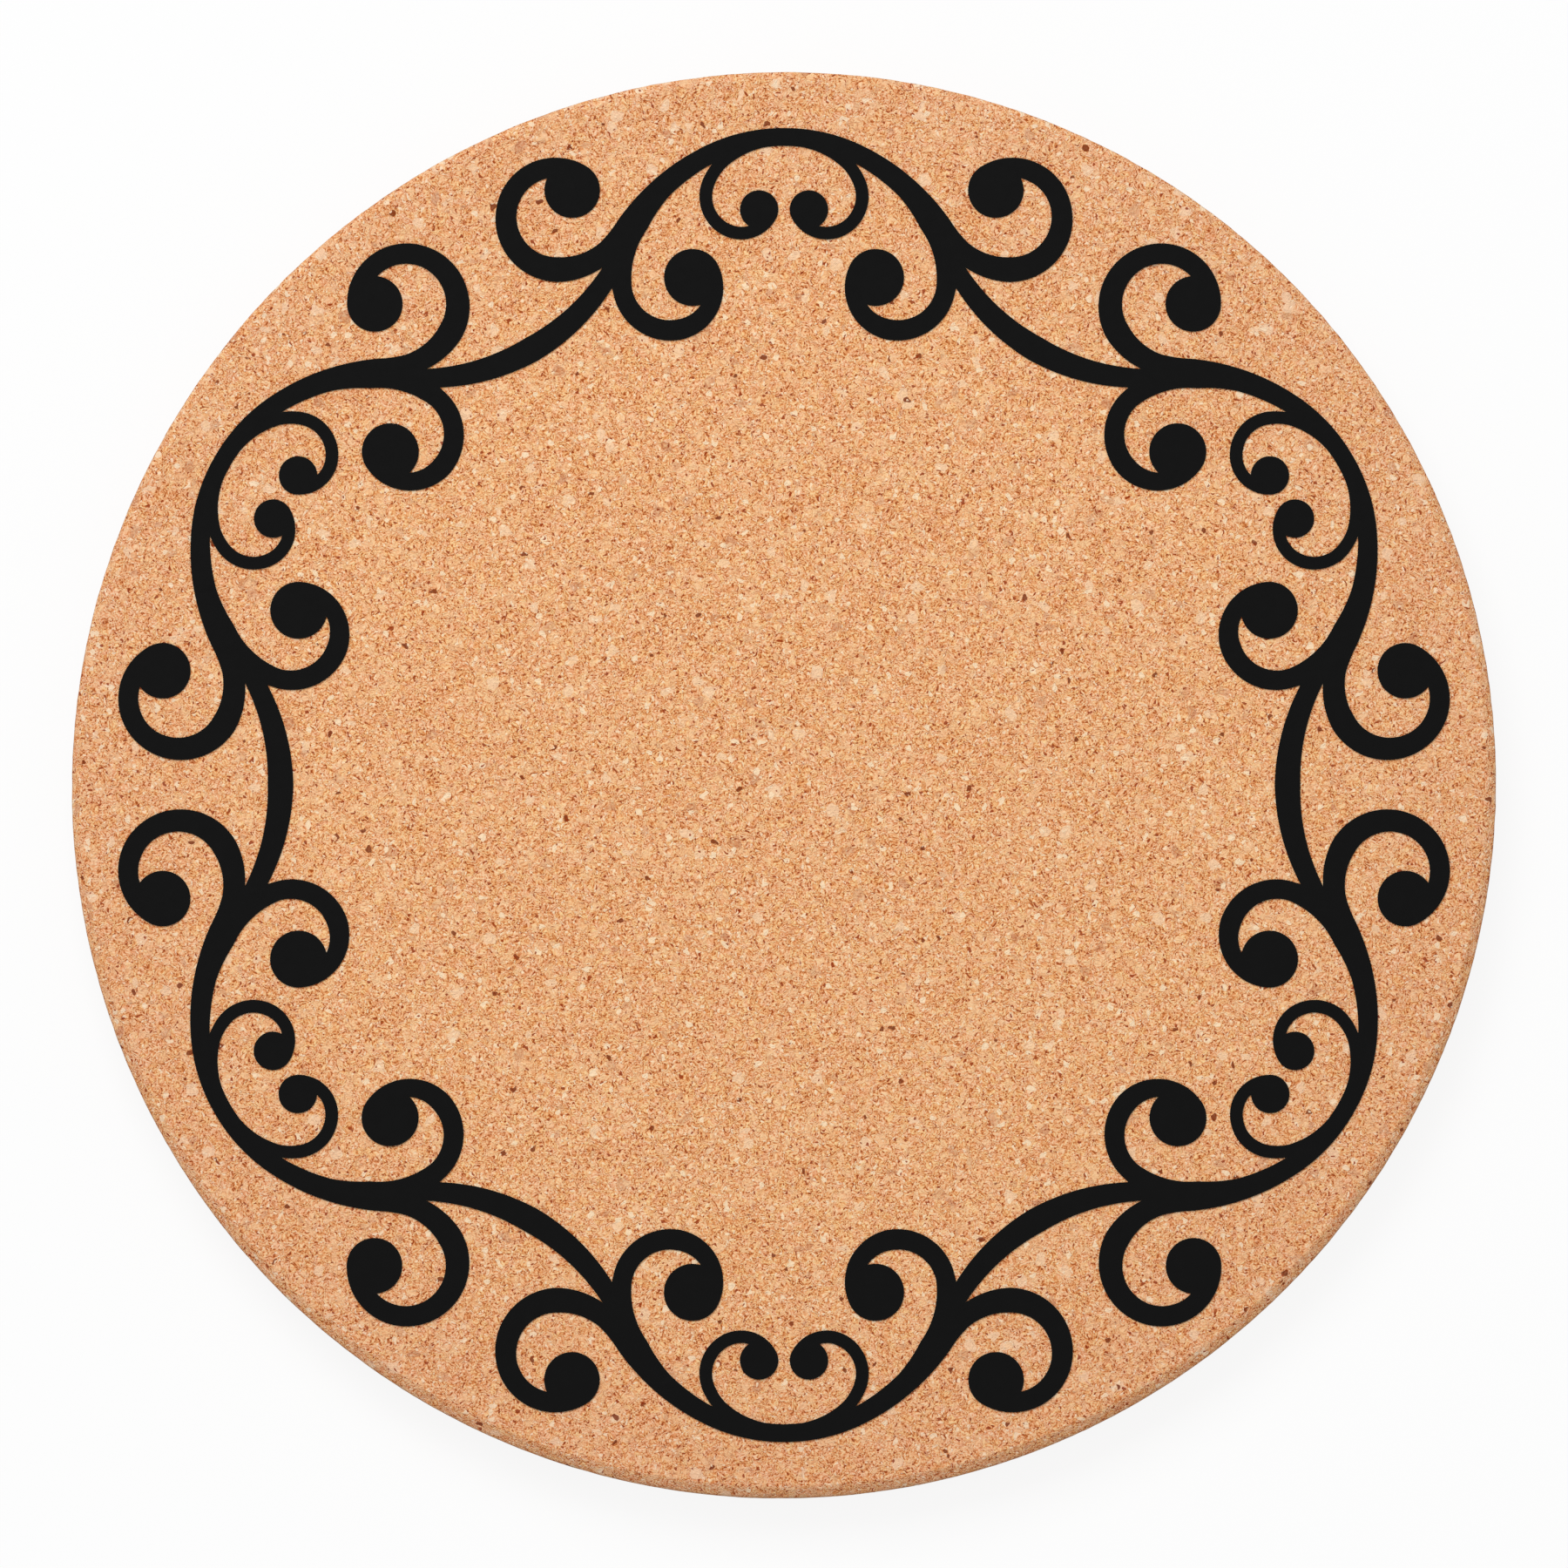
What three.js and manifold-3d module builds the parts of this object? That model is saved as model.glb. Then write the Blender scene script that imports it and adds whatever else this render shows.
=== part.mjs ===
// A round cork coaster: a disc of pressed cork with a scroll wreath of thin black film on its upper face.
// Millimetres, +Z up. The origin is the middle of the underside, and +Y points to the top of one motif.
import * as THREE from "three";
import { mergeVertices } from "three/addons/utils/BufferGeometryUtils.js";
import Module from "manifold-3d";

// Cork disc
const DISC_DIAMETER = 100;
const DISC_THICKNESS = 5;
const TOP_EDGE_RADIUS = 0.6;
const BOTTOM_EDGE_RADIUS = 0.6;
const CORK_COLOUR = 0xe3a979;
const CORK_ROUGHNESS = 0.9;

// Film
const FILM_THICKNESS = 0.1;
const FILM_COLOUR = 0x171717;
const FILM_ROUGHNESS = 0.55;

// Wreath: how many motifs, the bare cork outside it, and how far in from an arch's top its links lie
const MOTIF_COUNT = 6;
const RIM_MARGIN = 2.9;
const LINK_DROP = 10.15;

// A stroke is a chain of tangent arcs along its middle line. Each arc has its radius, the degrees that it turns
// through, and the stroke's width where it ends. A stroke that leaves another starts flush with the edge on its own
// side. A curl ends in a ball that carries on its outer edge.

// The arch goes down from its top through its shoulder to its foot
const ARCH_CROWN = { radius: 11.75, turn: 29, width: 1.35 };
const ARCH_SHOULDER = { radius: 14.45, turn: 14, width: 1.55 };
const ARCH_LEG = { radius: 15.05, turn: 14, width: 1.8 };
const ARCH = {
  startWidth: 1.25,
  arcs: [ARCH_CROWN, ARCH_SHOULDER, ARCH_LEG],
};

// The heart curl hangs from the arch's top, and starts as wide as the arch does there
const HEART_STEM = { radius: 6.2, turn: 46, width: 0.85 };
const HEART_BEND = { radius: 3.95, turn: 24, width: 0.9 };
const HEART_HOOK = { radius: 2.6, turn: 85, width: 0.9 };
const HEART_TAIL = { radius: 2.35, turn: 86, width: 0.85 };
const HEART_CURL = {
  startWidth: ARCH.startWidth,
  arcs: [HEART_STEM, HEART_BEND, HEART_HOOK, HEART_TAIL],
  ballRadius: 1.35,
};

// The inner curl leaves the arch at its shoulder and rolls inwards
const INNER_STEM = { radius: 11.55, turn: 15, width: 1.95 };
const INNER_BEND = { radius: 6.8, turn: 43, width: 1.35 };
const INNER_HOOK = { radius: 3.4, turn: 90, width: 1.45 };
const INNER_TAIL = { radius: 3.1, turn: 101, width: 1.05 };
const INNER_CURL = {
  startWidth: 1.4,
  arcs: [INNER_STEM, INNER_BEND, INNER_HOOK, INNER_TAIL],
  ballRadius: 2,
};

// The outer curl leaves the arch at its foot and rolls outwards
const OUTER_STEM = { radius: 8.95, turn: 14, width: 1.45 };
const OUTER_BEND = { radius: 5.05, turn: 43, width: 1.75 };
const OUTER_HOOK = { radius: 3.65, turn: 99, width: 1.45 };
const OUTER_TAIL = { radius: 3.5, turn: 112, width: 1.35 };
const OUTER_CURL = {
  startWidth: 1.55,
  arcs: [OUTER_STEM, OUTER_BEND, OUTER_HOOK, OUTER_TAIL],
  ballRadius: 1.95,
};

// A link runs on from the inner side of the arch's foot to the next motif: how firmly it holds its heading at the
// foot and at its middle, and its width at each
const LINK_FOOT_HOLD = 1.8;
const LINK_MIDDLE_HOLD = 5.6;
const LINK_FOOT_WIDTH = 0.95;
const LINK_MIDDLE_WIDTH = 1.8;

// Fineness of the facets
const DISC_SIDES = 96;
const EDGE_STEPS = 4;
const FACET_DEPTH = 0.05; // how far the middle of a facet may lie inside its arc
const LINK_STEPS = 6;
const SAME_POINT = 1e-6;

// Turning sense of a stroke
const LEFT = 1;
const RIGHT = -1;

const discRadius = DISC_DIAMETER / 2;
const motifAngle = (2 * Math.PI) / MOTIF_COUNT;
const wasm = await Module();
wasm.setup();

// A closed geometry as a solid that can be joined to others.
function solidOf(geometry) {
  geometry.deleteAttribute("normal");
  geometry.deleteAttribute("uv");
  const merged = mergeVertices(geometry);
  return new wasm.Manifold(
    new wasm.Mesh({
      numProp: 3,
      vertProperties: merged.attributes.position.array,
      triVerts: new Uint32Array(merged.index.array),
    }),
  );
}

// The geometry of a joined solid.
function geometryOf(solid) {
  const mesh = solid.getMesh();
  const geometry = new THREE.BufferGeometry();
  geometry.setAttribute("position", new THREE.BufferAttribute(mesh.vertProperties, 3));
  geometry.setIndex(new THREE.BufferAttribute(mesh.triVerts, 1));
  geometry.computeVertexNormals();
  return geometry;
}

// A point on a stroke's middle line, with the heading and the width of the stroke there.
function station(x, y, heading, width) {
  return { point: new THREE.Vector2(x, y), heading, width };
}

// How many facets an arc needs.
function facetCount(radius, angle) {
  return Math.ceil(angle / (2 * Math.acos(1 - FACET_DEPTH / radius)));
}

// The unit vector to the left of a heading.
function leftOf(heading) {
  return new THREE.Vector2(-Math.sin(heading), Math.cos(heading));
}

// The point on a stroke's left or right edge.
function edge(at, side) {
  return at.point.clone().addScaledVector(leftOf(at.heading), (side * at.width) / 2);
}

// A station of another width beside this one, flush with its left or right edge.
function flush(at, width, side) {
  const point = edge(at, side).addScaledVector(leftOf(at.heading), (-side * width) / 2);
  return station(point.x, point.y, at.heading, width);
}

// The stations along a stroke, in one list for each arc, from its first station.
function walk(first, stroke, side) {
  let last = first;
  return stroke.arcs.map(({ radius, turn, width }) => {
    const angle = THREE.MathUtils.degToRad(turn);
    const steps = facetCount(radius, angle);
    const from = last;
    const centre = from.point.clone().addScaledVector(leftOf(from.heading), side * radius);
    const run = [from];
    for (let i = 1; i <= steps; i++) {
      const heading = from.heading + (side * angle * i) / steps;
      const at = centre.clone().addScaledVector(leftOf(heading), -side * radius);
      run.push(station(at.x, at.y, heading, THREE.MathUtils.lerp(from.width, width, i / steps)));
    }
    last = run.at(-1);
    return run;
  });
}

// One list of stations from the lists of a stroke's arcs, which share their ends.
function joined(runs) {
  return runs.flatMap((run, i) => (i === 0 ? run : run.slice(1)));
}

// The closed outline of a stroke.
function strokeOutline(stations) {
  const left = stations.map((at) => edge(at, LEFT));
  const right = stations.map((at) => edge(at, RIGHT));
  return [...left, ...right.reverse()];
}

// The outline of the ball at a curl's end, which touches the curl's outer edge from inside.
function ballOutline(end, ballRadius, side) {
  const centre = edge(end, -side).addScaledVector(leftOf(end.heading), side * ballRadius);
  const sides = facetCount(ballRadius, 2 * Math.PI);
  return Array.from({ length: sides }, (_, i) => {
    const angle = end.heading + (2 * Math.PI * i) / sides;
    return new THREE.Vector2(Math.cos(angle), Math.sin(angle)).multiplyScalar(ballRadius).add(centre);
  });
}

// The outlines of a curl, which leaves a stroke here, and its ball.
function curlOutlines(here, curl, side) {
  const stations = joined(walk(flush(here, curl.startWidth, side), curl, side));
  return [strokeOutline(stations), ballOutline(stations.at(-1), curl.ballRadius, side)];
}

// Half a motif about an arch top at the origin, to the right of the motif's axis.
function halfMotif() {
  const top = station(0, 0, 0, ARCH.startWidth);
  const [crown, shoulder, leg] = walk(top, ARCH, RIGHT);
  const curls = [
    ...curlOutlines(top, HEART_CURL, RIGHT),
    ...curlOutlines(shoulder.at(-1), INNER_CURL, RIGHT),
    ...curlOutlines(leg.at(-1), OUTER_CURL, LEFT),
  ];
  return { arch: joined([crown, shoulder, leg]), curls };
}

// How far out an arch's top lies when the motif's outermost point keeps the margin to the disc's edge.
function archTopRadius({ arch, curls }) {
  const reach = discRadius - RIM_MARGIN;
  const points = [...curls.flat(), ...arch.map((at) => edge(at, LEFT))];
  return Math.min(...points.map(({ x, y }) => Math.sqrt(reach ** 2 - x ** 2) - y));
}

// The link from the arch's foot to the line between two motifs, which it crosses squarely.
function linkStations(foot, middleRadius) {
  const first = flush(foot, LINK_FOOT_WIDTH, RIGHT);
  const heading = -motifAngle / 2;
  const middle = leftOf(heading).multiplyScalar(middleRadius);
  const curve = new THREE.CubicBezierCurve(
    first.point,
    first.point.clone().addScaledVector(leftOf(first.heading - Math.PI / 2), LINK_FOOT_HOLD),
    middle.clone().addScaledVector(leftOf(heading - Math.PI / 2), -LINK_MIDDLE_HOLD),
    middle,
  );
  return Array.from({ length: LINK_STEPS + 1 }, (_, i) => {
    const share = i / LINK_STEPS;
    const at = curve.getPoint(share);
    const along = curve.getTangent(share);
    return station(at.x, at.y, along.angle(), THREE.MathUtils.lerp(LINK_FOOT_WIDTH, LINK_MIDDLE_WIDTH, share));
  });
}

// A point of the right half motif in the half motif at this turn round the disc, mirrored for a left half.
function placed(point, index, mirrored) {
  const at = new THREE.Vector2(mirrored ? -point.x : point.x, point.y);
  return at.rotateAround(new THREE.Vector2(), index * motifAngle);
}

// One closed edge of the ring of arches and links, counter-clockwise all the way round the disc. On the side where
// the link is flush with the foot, its first point is the foot's own and is left out.
function ringEdge(stations, side) {
  const points = stations.map((at) => edge(at, side));
  const down = points.filter((point, i) => i === 0 || point.distanceTo(points[i - 1]) > SAME_POINT);
  const up = down.slice(1).reverse();
  return Array.from({ length: MOTIF_COUNT }, (_, index) => [
    ...down.slice(0, -1).map((point) => placed(point, index, true)),
    ...up.map((point) => placed(point, index + 1, false)),
  ]).flat();
}

// A sheet of film on the disc's upper face, cut to an outline with any holes.
function filmSheet(outline, holes = []) {
  const shape = new THREE.Shape(outline);
  shape.holes = holes.map((hole) => new THREE.Path(hole));
  const geometry = new THREE.ExtrudeGeometry(shape, { depth: FILM_THICKNESS, bevelEnabled: false });
  return solidOf(geometry.translate(0, 0, DISC_THICKNESS));
}

// The scroll wreath: a closed ring of arches and links, with three curls on each side of every arch.
function scrollFilm() {
  const half = halfMotif();
  const topRadius = archTopRadius(half);
  const outwards = new THREE.Vector2(0, topRadius);
  half.arch.forEach((at) => at.point.add(outwards));
  const curls = half.curls.map((outline) => outline.map((point) => point.clone().add(outwards)));
  const ring = [...half.arch, ...linkStations(half.arch.at(-1), topRadius - LINK_DROP)];
  let film = filmSheet(ringEdge(ring, LEFT), [ringEdge(ring, RIGHT)]);
  for (let index = 0; index < MOTIF_COUNT; index++) {
    for (const mirrored of [false, true]) {
      for (const outline of curls) {
        film = film.add(filmSheet(outline.map((point) => placed(point, index, mirrored))));
      }
    }
  }
  return geometryOf(film);
}

// A quarter round from one angle to another, as points of a lathe profile.
function quarterRound(centreRadius, centreHeight, radius, fromAngle) {
  return Array.from({ length: EDGE_STEPS + 1 }, (_, i) => {
    const angle = fromAngle + ((Math.PI / 2) * i) / EDGE_STEPS;
    return new THREE.Vector2(Math.cos(angle), Math.sin(angle))
      .multiplyScalar(radius)
      .add(new THREE.Vector2(centreRadius, centreHeight));
  });
}

// The cork disc, turned about its axis, with its two edges rounded.
function corkDisc() {
  const profile = [
    new THREE.Vector2(0, 0),
    ...quarterRound(discRadius - BOTTOM_EDGE_RADIUS, BOTTOM_EDGE_RADIUS, BOTTOM_EDGE_RADIUS, -Math.PI / 2),
    ...quarterRound(discRadius - TOP_EDGE_RADIUS, DISC_THICKNESS - TOP_EDGE_RADIUS, TOP_EDGE_RADIUS, 0),
    new THREE.Vector2(0, DISC_THICKNESS),
  ];
  return new THREE.LatheGeometry(profile, DISC_SIDES).rotateX(Math.PI / 2);
}

// A named piece with its own plain finish.
function piece(name, geometry, color, roughness) {
  const material = new THREE.MeshStandardMaterial({ color, roughness, metalness: 0 });
  const mesh = new THREE.Mesh(geometry, material);
  mesh.name = name;
  return mesh;
}

const coaster = new THREE.Group();
coaster.add(piece("cork_disc", corkDisc(), CORK_COLOUR, CORK_ROUGHNESS));
coaster.add(piece("scroll_film", scrollFilm(), FILM_COLOUR, FILM_ROUGHNESS));

export default coaster;
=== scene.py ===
"""A round cork coaster with a wreath of black scrolls pressed onto it, dressed around its CAD frame.

Metres, +Z up. The coaster lies on the floor at z = 0, and +Y is the top of the photograph.
"""

import cmath
import math

import bpy
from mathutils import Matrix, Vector, noise
from mathutils.geometry import delaunay_2d_cdt
from mathutils.kdtree import KDTree


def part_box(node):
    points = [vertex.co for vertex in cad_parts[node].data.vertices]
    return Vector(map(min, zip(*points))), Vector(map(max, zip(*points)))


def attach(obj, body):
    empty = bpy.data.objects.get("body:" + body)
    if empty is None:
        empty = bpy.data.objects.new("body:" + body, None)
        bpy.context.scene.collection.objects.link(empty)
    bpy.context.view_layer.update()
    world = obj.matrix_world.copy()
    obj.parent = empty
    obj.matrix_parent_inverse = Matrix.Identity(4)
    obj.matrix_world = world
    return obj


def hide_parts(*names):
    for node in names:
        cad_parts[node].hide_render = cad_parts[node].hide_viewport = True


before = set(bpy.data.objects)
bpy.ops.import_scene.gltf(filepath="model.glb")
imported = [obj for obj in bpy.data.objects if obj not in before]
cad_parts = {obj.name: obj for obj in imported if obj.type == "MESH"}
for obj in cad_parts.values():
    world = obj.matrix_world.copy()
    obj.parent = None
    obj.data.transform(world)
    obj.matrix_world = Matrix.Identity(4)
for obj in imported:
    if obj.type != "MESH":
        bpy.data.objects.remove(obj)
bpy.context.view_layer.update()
disc_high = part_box("cork_disc")[1]
film_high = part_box("scroll_film")[1]

MM = 0.001
DISC_RADIUS = disc_high.x
DISC_TOP = disc_high.z
FILM_TOP = film_high.z

# Cork disc: its worn edges, its slight oval, and how finely it is meshed. An edge leaves the face by a soft
# crease and is a shallow bevel and a tight corner. Each of these is the way it faces at its start and at its
# end, as an angle above level, its width and its rows of facets. The near side is worn wider and deeper.
BEVEL = (math.radians(67), math.radians(58), 0.55 * MM, 3)
CORNER = (math.radians(58), math.radians(8), 0.12 * MM, 4)
EDGE_WIDTH = BEVEL[2] + CORNER[2]
CREASE = 0.06 * MM
NEAR_WEAR = 0.25
OVAL = 0.12 * MM
OVAL_AXIS = math.radians(55)
TOP_RINGS = 132
UNDERSIDE_RINGS = 66
WALL_ROWS = 11
RING_CORNERS = 6  # a ring gains this many points over the ring inside it, which keeps the triangles even

# Cork relief: granules sanded unevenly, and here and there one torn out
RELIEF_SIZE = 0.9 * MM
RELIEF_DEPTH = 0.035 * MM
PIT_SPACING = 2.6 * MM
PIT_SHARE = 0.45
PIT_DRAW = 7.31  # scales a pit's place to the cell of random numbers that decides on it
PIT_RADIUS = 0.45 * MM
PIT_DEPTH = 0.14 * MM
RIM_RELIEF = 1.8  # a cut edge is this much rougher than the sanded faces

# Cork grain in the material: its sizes, how far a noise shakes the granules' sides, and its own fine relief
CRUMB_SIZE = 0.142 * MM
GRANULE_SIZE = 0.42 * MM
FLAKE_SIZE = 0.75 * MM
DUST_SIZE = 0.1 * MM
DRIFT_SIZE = 2.5 * MM
SHAKE_SIZE = 0.7 * MM
SHAKE = 0.68 * MM
PRESSED_FLAT = 1.7  # granules are this many times as wide as they are high
CRUMB_RELIEF = 0.05 * MM
MIDDLE_TONE = 0.5
GRANULE_BLUR = 0.05  # how softly a granule's side ends, as a share of its cell
DARKER_RIM_FROM = 0.68  # the disc is darker from this share of its radius out, with painted shade on its near side

# Film: how fine its outline and its sheet are, in millimetres, the decimals to which two motifs' shared
# points are one, how far it sinks into the cork, and how much of the grain shows through it
OUTLINE_STEP = 0.22
SHEET_STEP = 0.45
SHEET_CLEARANCE = 0.55 * SHEET_STEP  # no point of the sheet is closer to an outline
SHEET_REACH = 3 * SHEET_STEP  # or further from one, as no stroke is that wide
SPARE_ROWS = 2
SHARED_DECIMALS = 6
SHARED_GAP = 1e-4
FILM_SINK = 0.05 * MM
FILM_TELEGRAPH = 0.6
FILM_CUT = math.radians(40)  # the film's cut edge is sharper than this, and its face is not
FILM_GRAIN_SIZE = 0.6 * MM
FILM_GRAIN_RELIEF = 0.02 * MM

# Wreath in millimetres, as in the CAD source. Each arc of a stroke is its radius, the degrees that it turns
# through and the stroke's width where it ends.
MOTIF_COUNT = 6
ARCH_WIDTH = 1.25
ARCH_TOP_ARCS = [(11.75, 29, 1.35), (14.45, 14, 1.55)]
ARCH_LEG_ARCS = [(15.05, 14, 1.8)]
HEART_ARCS = [(6.2, 46, 0.85), (3.95, 24, 0.9), (2.6, 85, 0.9), (2.35, 86, 0.85)]
HEART_BALL = 1.35
INNER_WIDTH = 1.4
INNER_ARCS = [(11.55, 15, 1.95), (6.8, 43, 1.35), (3.4, 90, 1.45), (3.1, 101, 1.05)]
INNER_BALL = 2
OUTER_WIDTH = 1.55
OUTER_ARCS = [(8.95, 14, 1.45), (5.05, 43, 1.75), (3.65, 99, 1.45), (3.5, 112, 1.35)]
OUTER_BALL = 1.95
LINK_DROP = 10.15
LINK_FOOT_HOLD = 1.8
LINK_MIDDLE_HOLD = 5.6
LINK_FOOT_WIDTH = 0.95
LINK_MIDDLE_WIDTH = 1.8
LEFT, RIGHT = 1, -1

# Photograph: the side of its square frame, the disc's radius in it and how far the disc's middle lies under
# the frame's, in pixels, and the camera's own distance and its lean in degrees
PHOTO_SIDE = 1800
PHOTO_DISC_RADIUS = 817.7
PHOTO_DISC_DROP = 1.8
CAMERA_DISTANCE = 2.0
CAMERA_TILT = 1.5

# Light: a soft box beyond the top of the photograph, a little to the left, in an even pale room. Levels are
# shares of full white, and angles are in degrees.
ROOM_LEVEL = 0.52
KEY_LEVEL = 0.5
KEY_DISTANCE = 0.7
KEY_SIZE = 0.4
KEY_ELEVATION = 55
KEY_AZIMUTH = 112  # from +X towards +Y
FLOOR_HALF = 6.0
FLOOR_GLOW = 0.88  # how much of the floor's white is its own, which leaves the rest to the shadow
FLOOR_SEEN = 0.9
FLOOR_UNSEEN = 0.4  # what the floor throws back at the coaster's wall


def linear(code, cover=1.0):
    """A colour for a shader from its sRGB hex code."""
    parts = [int(code[i : i + 2], 16) / 255 for i in (0, 2, 4)]
    return [c / 12.92 if c <= 0.04045 else ((c + 0.055) / 1.055) ** 2.4 for c in parts] + [cover]


def add(tree, kind, settings=None, inputs=None, stops=()):
    """A node with its settings, its named or numbered inputs set or linked, and the stops of a ramp."""
    node = tree.nodes.new(kind)
    for name, value in (settings or {}).items():
        setattr(node, name, value)
    for name, value in (inputs or {}).items():
        if isinstance(value, bpy.types.NodeSocket):
            tree.links.new(value, node.inputs[name])
        else:
            node.inputs[name].default_value = value
    for i, (position, code, cover) in enumerate(stops):
        elements = node.color_ramp.elements
        stop = elements[i] if i < 2 else elements.new(position)
        stop.position = position
        stop.color = linear(code, cover)
    return node


def new_material(name):
    """An empty node material, its tree and its output."""
    material = bpy.data.materials.new(name)
    material.use_nodes = True
    tree = material.node_tree
    tree.nodes.clear()
    return material, tree, add(tree, "ShaderNodeOutputMaterial")


def new_piece(name, vertices, faces, material):
    """A smooth-shaded mesh object."""
    mesh = bpy.data.meshes.new(name)
    mesh.from_pydata(vertices, [], faces)
    mesh.polygons.foreach_set("use_smooth", [True] * len(mesh.polygons))
    mesh.materials.append(material)
    mesh.update()
    piece = bpy.data.objects.new(name, mesh)
    bpy.context.scene.collection.objects.link(piece)
    return piece


# Cork disc


def sanded_depth(point):
    """How far a granule's worn top lies under the sanded level."""
    return RELIEF_DEPTH * (0.5 + 0.5 * noise.noise(point / RELIEF_SIZE))


def pit_depth(point):
    """How deep a torn-out granule goes, where there is one."""
    distances, centres = noise.voronoi(point / PIT_SPACING)
    if noise.cell(centres[0] * PIT_DRAW) > 2 * PIT_SHARE - 1:
        return 0.0
    reach = distances[0] * PIT_SPACING / PIT_RADIUS
    return PIT_DEPTH * max(0.0, 1 - reach * reach) ** 2


def worn_edge():
    """The steps from a face over its worn edge to the wall.

    Each is how far in from the rim it is, how far from the face, and the way it faces, as an angle above
    level.
    """
    inset, depth = EDGE_WIDTH, 0.0
    yield inset, depth, BEVEL[0]
    for start, end, width, rows in (BEVEL, CORNER):
        bend = width / (math.cos(end) - math.cos(start))
        for k in range(1, rows + 1):
            facing = start + (end - start) * k / rows
            fall = bend * (math.sin(start) - math.sin(facing))
            yield inset - bend * (math.cos(facing) - math.cos(start)), depth + fall, facing
        inset -= width
        depth += bend * (math.sin(start) - math.sin(end))


def disc_profile():
    """The rings from the upper face's middle, over the rim, to the underside's middle.

    Each is its share of the way out to a place this far in from the rim, its level from the underside to the
    upper face, how far it lies under that, the way its surface faces as an angle above level, and its number
    of points.
    """
    margin = EDGE_WIDTH + CREASE
    rim_points = RING_CORNERS * TOP_RINGS
    edge_steps = list(worn_edge())
    wall_end = edge_steps[-1][1] + CREASE
    for k in range(1, TOP_RINGS + 1):
        yield k / TOP_RINGS, margin, 1, 0, math.pi / 2, RING_CORNERS * k
    for inset, depth, facing in edge_steps:
        yield 1, inset, 1, depth, facing, rim_points
    for k in range(WALL_ROWS + 1):
        level = 1 - k / WALL_ROWS
        yield 1, 0, level, wall_end * (2 * level - 1), 0, rim_points
    for inset, depth, facing in reversed(edge_steps):
        yield 1, inset, 0, -depth, -facing, rim_points
    for k in range(UNDERSIDE_RINGS, 0, -1):
        yield k / UNDERSIDE_RINGS, margin, 0, 0, -math.pi / 2, RING_CORNERS * k


def bridge(first, second):
    """The triangles between two rings of vertices that each go once round."""
    faces = []
    i = j = 0
    while i < len(first) or j < len(second):
        a, b = first[i % len(first)], second[j % len(second)]
        if j < len(second) and (i == len(first) or (j + 1) * len(first) <= (i + 1) * len(second)):
            j += 1
            faces.append((a, b, second[j % len(second)]))
        else:
            i += 1
            faces.append((a, b, first[i % len(first)]))
    return faces


def cork_disc(material):
    """The disc as one closed skin with the cork's relief in it."""
    vertices, rings = [], []
    for share, inset, level, depth, facing, count in disc_profile():
        rings.append(range(len(vertices), len(vertices) + count))
        for i in range(count):
            turn = 2 * math.pi * i / count
            out = Vector((math.cos(turn), math.sin(turn), 0))
            oval = OVAL * math.cos(2 * (turn - OVAL_AXIS))
            wear = 1 - NEAR_WEAR * math.sin(turn)
            radius = share * (DISC_RADIUS + oval - inset * wear)
            point = radius * out + Vector((0, 0, level * DISC_TOP - depth * wear * wear))
            normal = math.cos(facing) * out + Vector((0, 0, math.sin(facing)))
            rough = 1 + (RIM_RELIEF - 1) * math.cos(facing)
            vertices.append(point - rough * (sanded_depth(point) + pit_depth(point)) * normal)
    faces = [list(rings[0])]
    for first, second in zip(rings, rings[1:]):
        faces += bridge(first, second)
    faces.append(list(reversed(rings[-1])))
    return new_piece("cork_disc_skin", vertices, faces, material)


# Scroll film


def left_of(heading):
    """The unit vector to the left of a heading, as a complex number."""
    return 1j * cmath.rect(1, heading)


def stroke(point, heading, width, arcs, side):
    """The stations along a chain of tangent arcs: point, heading and width."""
    stations = [(point, heading, width)]
    for radius, turn, end_width in arcs:
        point, heading, width = stations[-1]
        angle = math.radians(turn)
        centre = point + side * radius * left_of(heading)
        steps = math.ceil(radius * angle / OUTLINE_STEP)
        for i in range(1, steps + 1):
            share = i / steps
            way = heading + side * angle * share
            at = centre - side * radius * left_of(way)
            stations.append((at, way, width + (end_width - width) * share))
    return stations


def edge(station, side):
    """The point on a stroke's left or right edge."""
    point, heading, width = station
    return point + side * width / 2 * left_of(heading)


def stroke_outline(stations):
    """The closed outline of a stroke."""
    return [edge(s, LEFT) for s in stations] + [edge(s, RIGHT) for s in reversed(stations)]


def flush(station, width, side):
    """A station of another width beside this one, flush with its left or right edge."""
    heading = station[1]
    return edge(station, side) - side * width / 2 * left_of(heading), heading, width


def curl(here, width, arcs, ball_radius, side):
    """The outlines of a curl that leaves a stroke here, and of the ball within the outer edge of its end."""
    stations = stroke(*flush(here, width, side), arcs, side)
    centre = edge(stations[-1], -side) + side * ball_radius * left_of(stations[-1][1])
    count = math.ceil(2 * math.pi * ball_radius / OUTLINE_STEP)
    ball = [centre + cmath.rect(ball_radius, 2 * math.pi * i / count) for i in range(count)]
    return [stroke_outline(stations), ball]


def link(foot):
    """The stations of a link from an arch's foot to the line between two motifs, which it crosses square."""
    heading = -math.pi / MOTIF_COUNT
    start, foot_heading, _ = flush(foot, LINK_FOOT_WIDTH, RIGHT)
    end = (arch_top() - LINK_DROP) * left_of(heading)
    leave = start + LINK_FOOT_HOLD * cmath.rect(1, foot_heading)
    arrive = end - LINK_MIDDLE_HOLD * cmath.rect(1, heading)
    steps = math.ceil(abs(end - start) / OUTLINE_STEP)
    stations = []
    for i in range(steps + 1):
        t = i / steps
        u = 1 - t
        point = u**3 * start + 3 * u * u * t * leave + 3 * u * t * t * arrive + t**3 * end
        along = u * u * (leave - start) + 2 * u * t * (arrive - leave) + t * t * (end - arrive)
        width = u * LINK_FOOT_WIDTH + t * LINK_MIDDLE_WIDTH
        stations.append((point, cmath.phase(along), width))
    return stations


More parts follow.
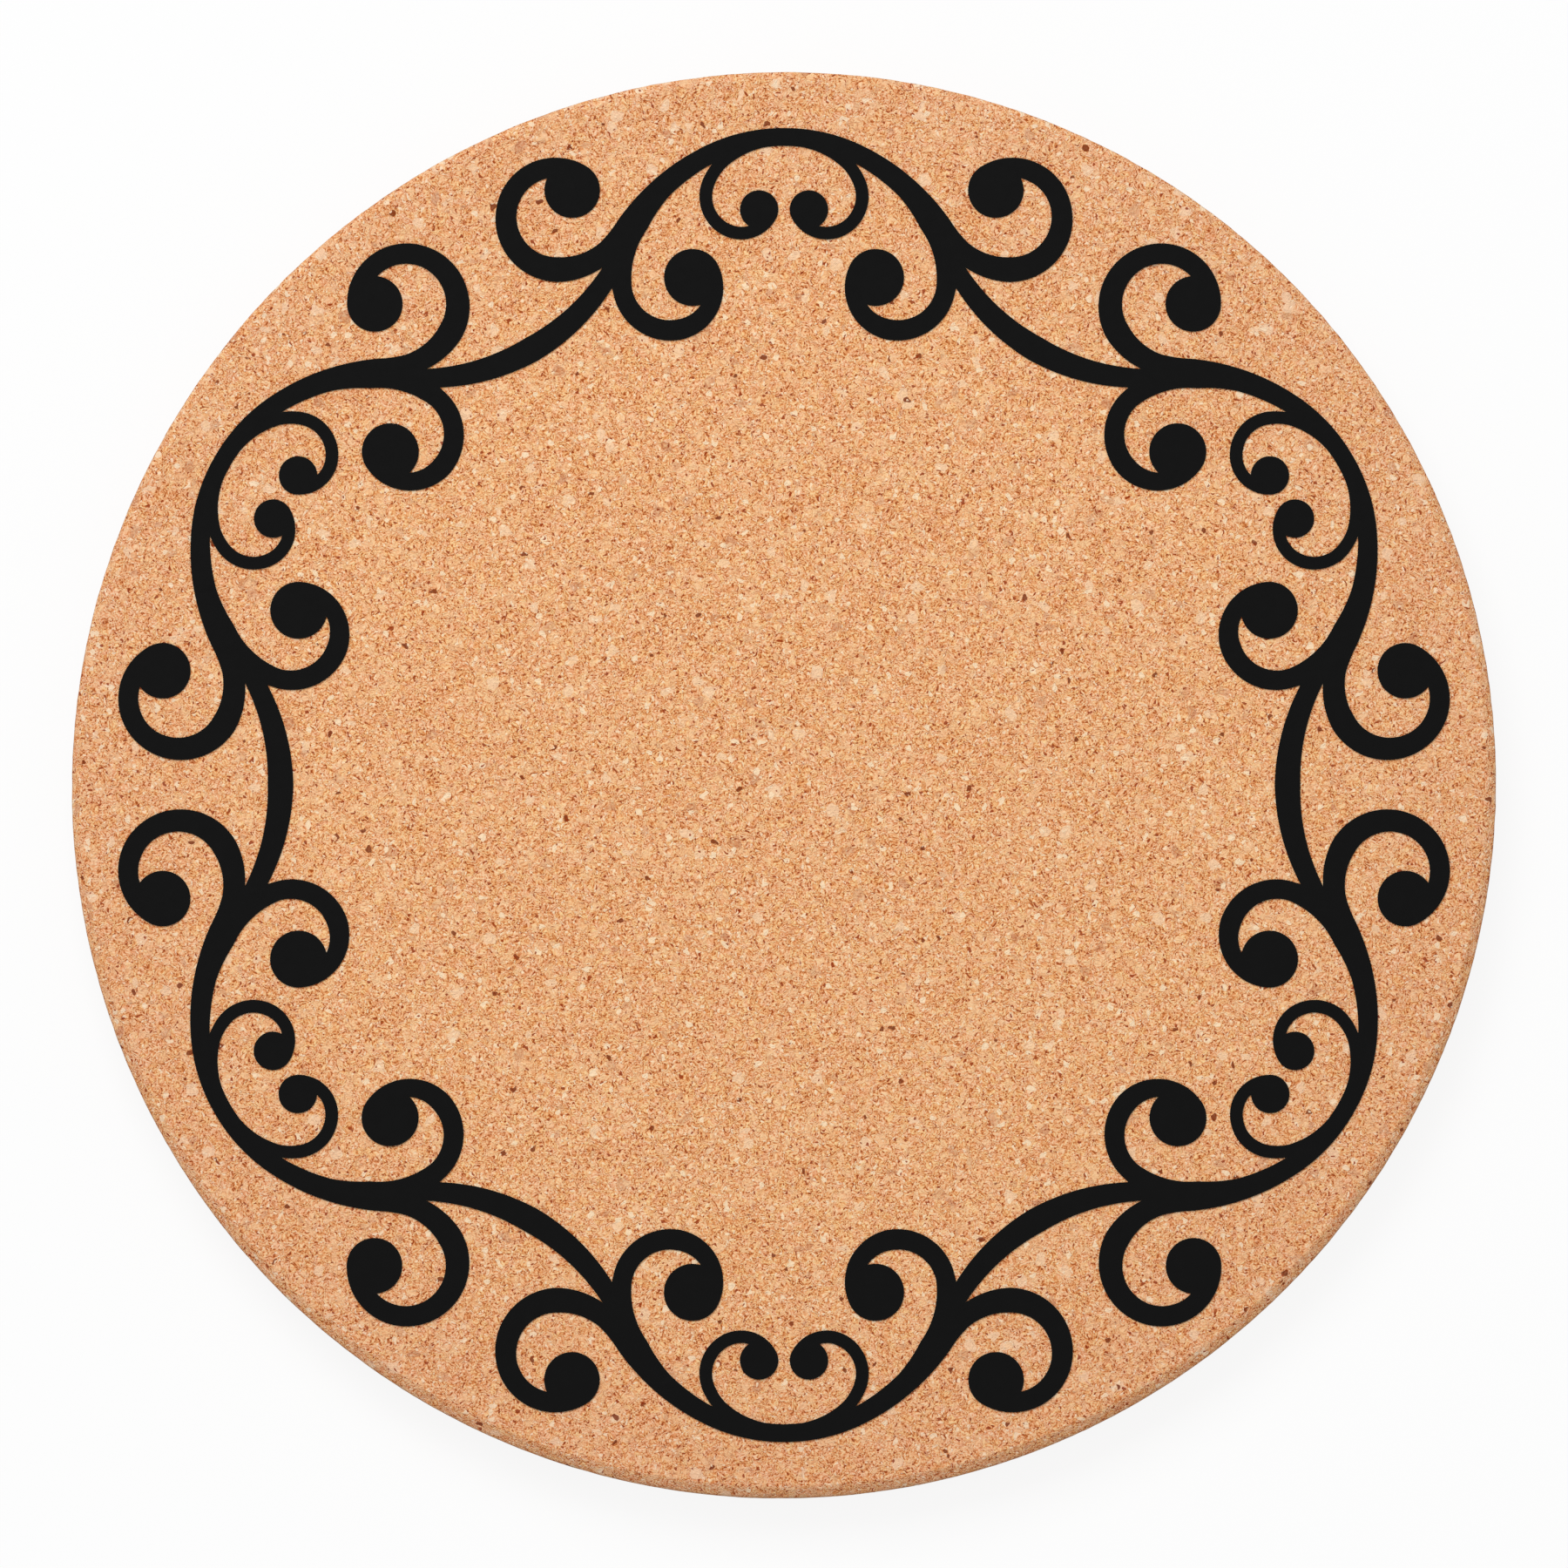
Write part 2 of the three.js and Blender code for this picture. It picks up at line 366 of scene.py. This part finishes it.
def arch_top():
    """How far the middle of an arch's top lies from the disc's axis, in millimetres."""
    return film_high.y / MM - ARCH_WIDTH / 2


def half_motif():
    """The outlines of the right half of the motif at the top, in millimetres."""
    top = (arch_top() * 1j, 0.0, ARCH_WIDTH)
    crown = stroke(*top, ARCH_TOP_ARCS, RIGHT)
    leg = stroke(*crown[-1], ARCH_LEG_ARCS, RIGHT)
    return [
        stroke_outline(crown + leg[1:]),
        stroke_outline(link(leg[-1])),
        *curl(top, ARCH_WIDTH, HEART_ARCS, HEART_BALL, RIGHT),
        *curl(crown[-1], INNER_WIDTH, INNER_ARCS, INNER_BALL, RIGHT),
        *curl(leg[-1], OUTER_WIDTH, OUTER_ARCS, OUTER_BALL, LEFT),
    ]


def wreath_outlines():
    """Every outline of the wreath, counter-clockwise."""
    outlines = []
    for outline in half_motif():
        for index in range(MOTIF_COUNT):
            turn = cmath.rect(1, 2 * math.pi * index / MOTIF_COUNT)
            outlines.append([turn * p for p in outline])
            outlines.append([turn * -p.conjugate() for p in outline])
    return [o if area(o) > 0 else o[::-1] for o in outlines]


def area(outline):
    """The signed area inside an outline."""
    return sum((a.conjugate() * b).imag for a, b in zip(outline, outline[1:] + outline[:1])) / 2


def sheet_points(outlines):
    """A triangular grid of points over the wreath, none of them close to an outline."""
    edges = [p for outline in outlines for p in outline]
    tree = KDTree(len(edges))
    for i, p in enumerate(edges):
        tree.insert((p.real, p.imag, 0), i)
    tree.balance()
    row_step = SHEET_STEP * math.sqrt(3) / 2
    rows = math.ceil(film_high.y / MM / row_step) + SPARE_ROWS
    points = []
    for j in range(-rows, rows + 1):
        for i in range(-rows, rows + 1):
            p = complex((i + j % 2 / 2) * SHEET_STEP, j * row_step)
            gap = tree.find((p.real, p.imag, 0))[2]
            if SHEET_CLEARANCE < gap < SHEET_REACH:
                points.append(p)
    return points


def wreath_sheet():
    """The wreath as flat triangles: its points in millimetres, and its faces."""
    outlines = wreath_outlines()
    points, loops = [], []
    for outline in outlines:
        loops.append(list(range(len(points), len(points) + len(outline))))
        points += outline
    points += sheet_points(outlines)
    flat = [Vector((round(p.real, SHARED_DECIMALS), round(p.imag, SHARED_DECIMALS))) for p in points]
    whole_hull = 0
    places, _, faces, _, _, origins = delaunay_2d_cdt(flat, [], loops, whole_hull, SHARED_GAP)
    inside = [face for face, origin in zip(faces, origins) if origin]
    used = sorted({v for face in inside for v in face})
    number = {v: i for i, v in enumerate(used)}
    return [places[v] for v in used], [[number[v] for v in face] for face in inside]


def scroll_film(material):
    """The film as one closed sheet that follows the grain under it."""
    points, sheet = wreath_sheet()
    count = len(points)
    upper = []
    for p in points:
        at = Vector((p.x * MM, p.y * MM, DISC_TOP))
        upper.append(Vector((at.x, at.y, FILM_TOP - FILM_TELEGRAPH * sanded_depth(at))))
    lower = [Vector((p.x * MM, p.y * MM, DISC_TOP - FILM_SINK)) for p in points]
    sides = {(a, b) for face in sheet for a, b in zip(face, face[1:] + face[:1])}
    walls = [(a + count, b + count, b, a) for a, b in sides if (b, a) not in sides]
    underside = [[v + count for v in reversed(face)] for face in sheet]
    piece = new_piece("scroll_film_sheet", upper + lower, sheet + underside + sorted(walls), material)
    piece.data.set_sharp_from_angle(angle=FILM_CUT)
    return piece


# Materials


def agglomerated_cork():
    """Agglomerated cork: fine granules pressed with a binder into a block, sliced and sanded.

    The eye gets a matt tan ground of crumbs one or two tenths of a millimetre across, a little pinker here
    and yellower there. In it are larger granules and flakes that were sliced flat: mostly pale, a few grey
    or red-brown from the bark, and dark specks of the bark itself.
    """
    material, tree, output = new_material("agglomerated cork, sliced and sanded")
    place = add(tree, "ShaderNodeTexCoord").outputs["Object"]
    # Pressing leaves the granules flatter than they are wide, which the rim shows as faint layers
    pressed = add(tree, "ShaderNodeVectorMath", {"operation": "MULTIPLY"},
                  {0: place, 1: (1, 1, PRESSED_FLAT)}).outputs[0]
    # Granules aren't straight-sided, so their cells are looked up at places that a fine noise shakes
    shake = add(tree, "ShaderNodeTexNoise", None,
                {"Vector": pressed, "Scale": 1 / SHAKE_SIZE, "Detail": 1.5})
    shaken = add(tree, "ShaderNodeVectorMath", {"operation": "MULTIPLY_ADD"},
                 {0: shake.outputs["Color"], 1: [SHAKE] * 3, 2: pressed}).outputs[0]
    # Cells of three sizes: their random colours pick each crumb's tone and each granule's hue and kind
    crumb, granule, flake = [
        add(tree, "ShaderNodeTexVoronoi", None, {"Vector": shaken, "Scale": 1 / size}).outputs
        for size in (CRUMB_SIZE, GRANULE_SIZE, FLAKE_SIZE)
    ]
    relief, ground = cork_ground(tree, shaken, crumb, granule)
    sliced = sliced_granules(tree, ground, crumb, granule, flake)
    bump = add(tree, "ShaderNodeBump", None, {"Height": relief, "Distance": CRUMB_RELIEF, "Strength": 1.0})
    surface = add(tree, "ShaderNodeBsdfPrincipled", None, {
        "Base Color": darker_rim_and_painted_shade(tree, place, sliced), "Roughness": 0.88, "Specular IOR Level": 0.12,
        "Normal": bump.outputs[0]})
    tree.links.new(surface.outputs[0], output.inputs[0])
    return material


def cork_ground(tree, shaken, crumb, granule):
    """The relief of the crumbs and the dust between them, and the ground's colour."""
    shade = add(tree, "ShaderNodeSeparateColor", None, {"Color": crumb["Color"]}).outputs[0]
    dust, drift = [
        add(tree, "ShaderNodeTexNoise", None,
            {"Vector": shaken, "Scale": 1 / size, "Detail": 0.0}).outputs[0]
        for size in (DUST_SIZE, DRIFT_SIZE)
    ]
    # Each layer has a weight and its own mean, and the sum stays about the middle tone. The first two layers
    # are the relief too, so the ground is darker where it lies low between the crumbs: partly the gaps' own
    # colour, partly painted shade.
    layers = ((crumb["Distance"], -0.6, 0.48), (dust, 1.3, 0.5), (shade, 0.44, 0.5), (drift, 0.08, 0.5))
    sums = [MIDDLE_TONE - sum(weight * mean for layer, weight, mean in layers)]
    for layer, weight, mean in layers:
        sums.append(add(tree, "ShaderNodeMath", {"operation": "MULTIPLY_ADD"},
                        {0: layer, 1: weight, 2: sums[-1]}).outputs[0])
    tone = add(tree, "ShaderNodeValToRGB", None, {0: sums[-1]}, [
        (0.0, "a64c1d", 1), (0.2, "da8952", 1), (0.5, "f3b284", 1), (0.85, "fed5ab", 1)]).outputs[0]
    # Each granule of the ground leans a little to pink or to yellow
    hue = add(tree, "ShaderNodeSeparateColor", None, {"Color": granule["Color"]}).outputs[2]
    lean = add(tree, "ShaderNodeValToRGB", None, {0: hue}, [(0, "ffffff", 1), (1, "ffffe7", 1)]).outputs[0]
    ground = add(tree, "ShaderNodeMix", {"data_type": "RGBA", "blend_type": "MULTIPLY"},
                 {0: 1.0, 6: tone, 7: lean}).outputs[2]
    return sums[2], ground


def sliced_granules(tree, colour, crumb, granule, flake):
    """The colour with flakes, granules and crumbs of other kinds laid over it."""
    # A kind starts at a share of the cells: its colour, and how far it covers the ground. The last one is
    # the ground itself.
    flakes = [(0, "fdd6ae", 0.75), (0.02, "fbc996", 0.42), (0.12, "dba67e", 0.5), (0.13, "c78560", 0.5),
              (0.14, "eeae7a", 0)]
    granules = [(0, "ffe2bc", 0.9), (0.025, "fccd9c", 0.6), (0.14, "d6a27c", 0.5), (0.1475, "803008", 0.9),
                (0.1515, "eeae7a", 0)]
    crumbs = [(0, "983404", 0.9), (0.016, "ffe4c0", 0.8), (0.05, "eeae7a", 0)]
    # A flake or granule reaches this share of its cell's size from its middle, and a crumb fills its cell
    for cells, reach, kinds in ((flake, 0.6, flakes), (granule, 0.55, granules), (crumb, 2, crumbs)):
        pick = add(tree, "ShaderNodeSeparateColor", None, {"Color": cells["Color"]}).outputs[1]
        kind = add(tree, "ShaderNodeValToRGB", None, {0: pick}, kinds)
        kind.color_ramp.interpolation = "CONSTANT"
        cover = add(tree, "ShaderNodeMapRange", None, {
            0: cells["Distance"], 1: reach - GRANULE_BLUR, 2: reach + GRANULE_BLUR,
            3: kind.outputs[1], 4: 0.0}).outputs[0]
        colour = add(tree, "ShaderNodeMix", {"data_type": "RGBA"},
                     {0: cover, 6: colour, 7: kind.outputs[0]}).outputs[2]
    return colour


def darker_rim_and_painted_shade(tree, place, colour):
    """The colour darker towards the rim, with painted shade there, darker and warmer on the near side."""
    across = add(tree, "ShaderNodeVectorMath", {"operation": "MULTIPLY"},
                 {0: place, 1: (1, 1, 0)}).outputs[0]
    out = add(tree, "ShaderNodeVectorMath", {"operation": "LENGTH"}, {0: across}).outputs["Value"]
    rimward = add(tree, "ShaderNodeMapRange", None,
                  {0: out, 1: DARKER_RIM_FROM * DISC_RADIUS, 2: DISC_RADIUS}).outputs[0]
    depth = add(tree, "ShaderNodeSeparateXYZ", None, {0: place}).outputs["Y"]
    far = add(tree, "ShaderNodeMapRange", None, {0: depth, 1: -DISC_RADIUS, 2: DISC_RADIUS}).outputs[0]
    # Painted light and shade: the rim's far, lit side paler and cooler, its near, shaded side darker and
    # warmer
    painted_shade_tint = add(tree, "ShaderNodeValToRGB", None, {0: far}, [(0, "f9f4f7", 1), (1, "fafaff", 1)]).outputs[0]
    return add(tree, "ShaderNodeMix", {"data_type": "RGBA", "blend_type": "MULTIPLY"},
               {0: rimward, 6: colour, 7: painted_shade_tint}).outputs[2]


def pressed_film():
    """Black polyurethane transfer film, cut to the ornament and pressed on hot.

    The eye gets an even matt black with a faint broad sheen, in which the cork's grain shows as a soft
    unevenness.
    """
    material, tree, output = new_material("black transfer film, hot pressed")
    place = add(tree, "ShaderNodeTexCoord").outputs["Object"]
    grain = add(tree, "ShaderNodeTexNoise", None,
                {"Vector": place, "Scale": 1 / FILM_GRAIN_SIZE, "Detail": 2.0}).outputs[0]
    gloss = add(tree, "ShaderNodeMapRange", None, {0: grain, 3: 0.5, 4: 0.66})
    bump = add(tree, "ShaderNodeBump", None,
               {"Height": grain, "Distance": FILM_GRAIN_RELIEF, "Strength": 0.5})
    surface = add(tree, "ShaderNodeBsdfPrincipled", None, {
        "Base Color": linear("0b0b0b"), "Roughness": gloss.outputs[0], "Specular IOR Level": 0.05,
        "Normal": bump.outputs[0]})
    tree.links.new(surface.outputs[0], output.inputs[0])
    return material


def background_seen(tree):
    """1 for a ray that shows the background itself: to the camera, in a reflection or through glass."""
    rays = add(tree, "ShaderNodeLightPath").outputs
    plain_or_mirrored = add(tree, "ShaderNodeMath", {"operation": "MAXIMUM"},
                            {0: rays["Is Camera Ray"], 1: rays["Is Glossy Ray"]}).outputs[0]
    return add(tree, "ShaderNodeMath", {"operation": "MAXIMUM"},
               {0: plain_or_mirrored, 1: rays["Is Transmission Ray"]}).outputs[0]


def white_paper():
    """Plain white paper: the eye gets an even white with the coaster's shadow left in it."""
    material, tree, output = new_material("white paper floor")
    seen = background_seen(tree)
    share = add(tree, "ShaderNodeMath", {"operation": "MULTIPLY"}, {0: seen, 1: FLOOR_GLOW}).outputs[0]
    pale = add(tree, "ShaderNodeMapRange", None, {0: seen, 3: FLOOR_UNSEEN, 4: FLOOR_SEEN})
    paper = add(tree, "ShaderNodeBsdfDiffuse", None, {"Color": pale.outputs[0]})
    glow = add(tree, "ShaderNodeEmission", None, {"Color": linear("ffffff"), "Strength": 1.0})
    surface = add(tree, "ShaderNodeMixShader", None, {0: share, 1: paper.outputs[0], 2: glow.outputs[0]})
    tree.links.new(surface.outputs[0], output.inputs[0])
    return material


# Stage


def floor():
    """A wide flat floor that the coaster lies on."""
    half = FLOOR_HALF
    corners = [(-half, -half, 0), (half, -half, 0), (half, half, 0), (-half, half, 0)]
    piece = new_piece("floor", corners, [(0, 1, 2, 3)], white_paper())


def room():
    """An even pale room, white where it is seen."""
    world = bpy.data.worlds.new("room")
    bpy.context.scene.world = world
    world.use_nodes = True
    tree = world.node_tree
    tree.nodes.clear()
    level = add(tree, "ShaderNodeMapRange", None, {0: background_seen(tree), 3: ROOM_LEVEL, 4: 1.0})
    light = add(tree, "ShaderNodeBackground", None,
                {"Color": linear("ffffff"), "Strength": level.outputs[0]})
    add(tree, "ShaderNodeOutputWorld", None, {0: light.outputs[0]})


def key_light():
    """A soft box whose light on the coaster's face is the key level."""
    turn, rise = math.radians(KEY_AZIMUTH), math.radians(KEY_ELEVATION)
    way = Vector((math.cos(turn) * math.cos(rise), math.sin(turn) * math.cos(rise), math.sin(rise)))
    lamp = bpy.data.lights.new("soft_box", "AREA")
    lamp.size = KEY_SIZE
    # White paper lying flat shows the lamp's power times sin(rise) / (pi * distance) squared
    lamp.energy = KEY_LEVEL * math.pi**2 * KEY_DISTANCE**2 / math.sin(rise)
    box = bpy.data.objects.new("soft_box", lamp)
    box.location = KEY_DISTANCE * way
    box.rotation_euler = way.to_track_quat("Z", "Y").to_euler()
    bpy.context.scene.collection.objects.link(box)


def photo_camera():
    """The photograph's camera: straight above, leaning a little to the near side."""
    pixel = DISC_RADIUS / PHOTO_DISC_RADIUS
    aim = Vector((0, PHOTO_DISC_DROP * pixel, DISC_TOP / 2))
    lean = math.radians(CAMERA_TILT)
    back = Vector((0, -math.sin(lean), math.cos(lean)))
    lens = bpy.data.cameras.new("camera")
    lens.lens = lens.sensor_width * CAMERA_DISTANCE / (PHOTO_SIDE * pixel)
    lens.clip_end = 2 * CAMERA_DISTANCE
    camera = bpy.data.objects.new("camera", lens)
    camera.location = aim + CAMERA_DISTANCE * back
    camera.rotation_euler = (lean, 0, 0)
    bpy.context.scene.collection.objects.link(camera)
    bpy.context.scene.camera = camera


def dress(piece, node):
    """Puts a piece in place of a CAD node: under the root body, with the node hidden."""
    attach(piece, "root")
    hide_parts(node)


bpy.context.scene.view_settings.view_transform = "Standard"
photo_camera()
key_light()
room()
floor()
dress(cork_disc(agglomerated_cork()), "cork_disc")
dress(scroll_film(pressed_film()), "scroll_film")
